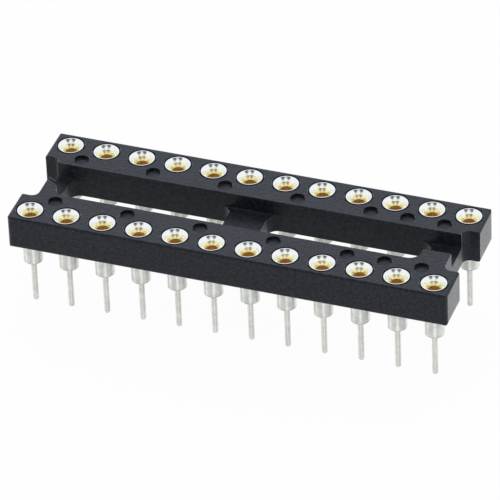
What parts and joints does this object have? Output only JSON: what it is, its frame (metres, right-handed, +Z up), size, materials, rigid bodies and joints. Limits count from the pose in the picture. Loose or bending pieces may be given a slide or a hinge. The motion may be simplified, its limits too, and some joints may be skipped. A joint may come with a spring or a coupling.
{
  "type": "dip socket",
  "caption": "Open-frame socket for a dual-in-line chip: black moulded ladder frame with two rows of turned tin sleeves, gold finger clips inside them and round solder tails.",
  "frame": {"origin": "middle of the contact field, on the board surface that the sleeve shoulders sit on", "axes": "+X along the rows, from the narrow crossbar to the wide one; +Y across the rows; +Z up, away from the board"},
  "size_m": [0.0304, 0.01, 0.0074],
  "materials": {
    "moulded_plastic": "fine matte moulding",
    "tin_plate": "bright tin plate on turned brass",
    "gold_plate": "thin gold plate on a copper alloy spring"
  },
  "bodies": {
    "root": {"insulator": "moulded_plastic", "sleeve_01": "tin_plate", "sleeve_02": "tin_plate", "sleeve_03": "tin_plate", "sleeve_04": "tin_plate", "sleeve_05": "tin_plate", "sleeve_06": "tin_plate", "sleeve_07": "tin_plate", "sleeve_08": "tin_plate", "sleeve_09": "tin_plate", "sleeve_10": "tin_plate", "sleeve_11": "tin_plate", "sleeve_12": "tin_plate", "sleeve_13": "tin_plate", "sleeve_14": "tin_plate", "sleeve_15": "tin_plate", "sleeve_16": "tin_plate", "sleeve_17": "tin_plate", "sleeve_18": "tin_plate", "sleeve_19": "tin_plate", "sleeve_20": "tin_plate", "sleeve_21": "tin_plate", "sleeve_22": "tin_plate", "sleeve_23": "tin_plate", "sleeve_24": "tin_plate", "contact_clip_01": "gold_plate", "contact_clip_02": "gold_plate", "contact_clip_03": "gold_plate", "contact_clip_04": "gold_plate", "contact_clip_05": "gold_plate", "contact_clip_06": "gold_plate", "contact_clip_07": "gold_plate", "contact_clip_08": "gold_plate", "contact_clip_09": "gold_plate", "contact_clip_10": "gold_plate", "contact_clip_11": "gold_plate", "contact_clip_12": "gold_plate", "contact_clip_13": "gold_plate", "contact_clip_14": "gold_plate", "contact_clip_15": "gold_plate", "contact_clip_16": "gold_plate", "contact_clip_17": "gold_plate", "contact_clip_18": "gold_plate", "contact_clip_19": "gold_plate", "contact_clip_20": "gold_plate", "contact_clip_21": "gold_plate", "contact_clip_22": "gold_plate", "contact_clip_23": "gold_plate", "contact_clip_24": "gold_plate"}
  },
  "joints": []
}
